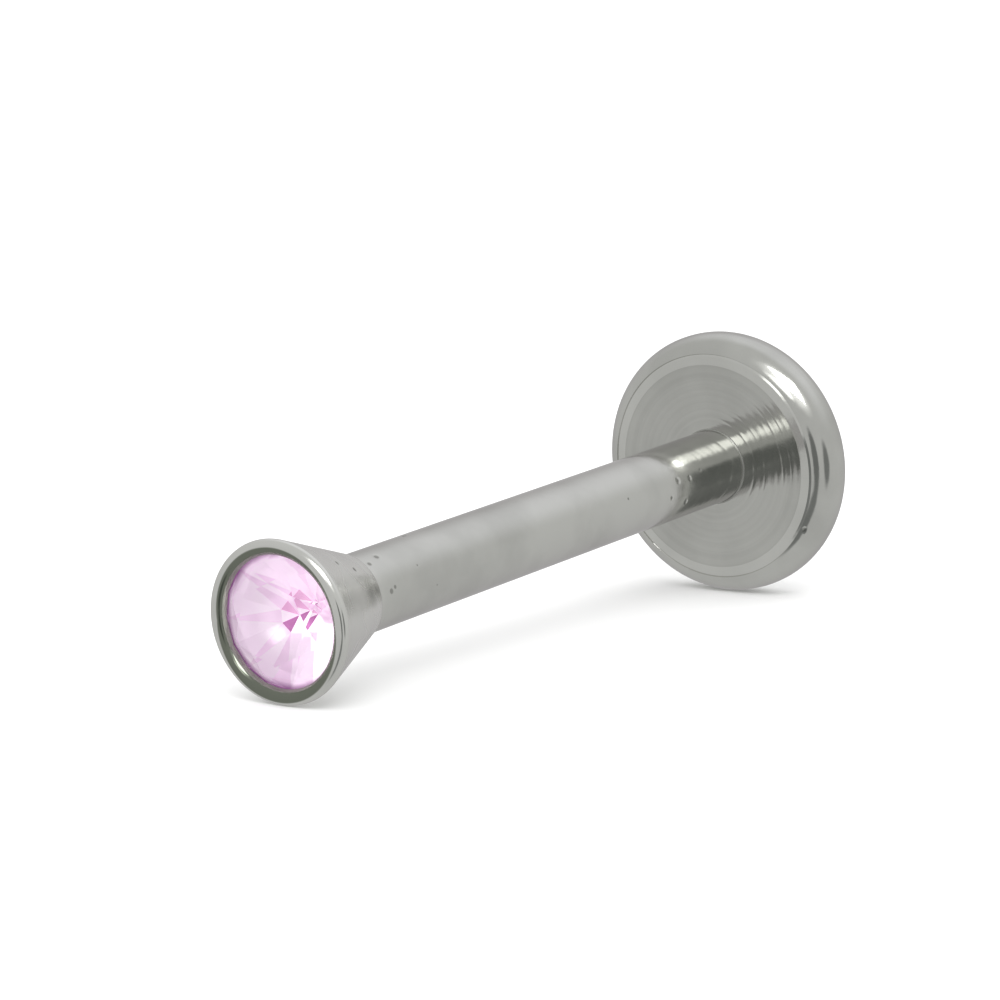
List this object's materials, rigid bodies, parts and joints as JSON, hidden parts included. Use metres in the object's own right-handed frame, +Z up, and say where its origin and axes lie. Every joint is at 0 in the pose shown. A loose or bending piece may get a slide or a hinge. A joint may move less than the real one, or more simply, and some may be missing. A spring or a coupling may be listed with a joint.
{
  "type": "labret stud",
  "caption": "Flat-backed labret stud: thin hollow-ended post on a round-edged disc, closed by a flared screw-in cup set with a pink cut crystal.",
  "frame": {"origin": "middle of the bottom of the box round the stud, on the surface that it lies on", "axes": "the post runs along X, the crystal's cup at -X and the disc at +X; +Z is up from the surface; the post slopes 4.5 degrees up towards the disc, because it lies on the rims of the disc and the cup"},
  "size_m": [0.0128, 0.0042, 0.0043],
  "materials": {
    "polished_steel": "mirror-polished surgical steel",
    "pink_crystal": "clear pale pink cut glass with a bright back"
  },
  "bodies": {
    "post": {"labret_post": "polished_steel"},
    "head": {"gem_cup": "polished_steel", "crystal": "pink_crystal"}
  },
  "joints": [
    {"name": "head_unscrew", "type": "slide", "parent": "post", "child": "head", "axis": [-0.9969, 0, -0.0789], "range_m": [0, 0.0025]}
  ]
}
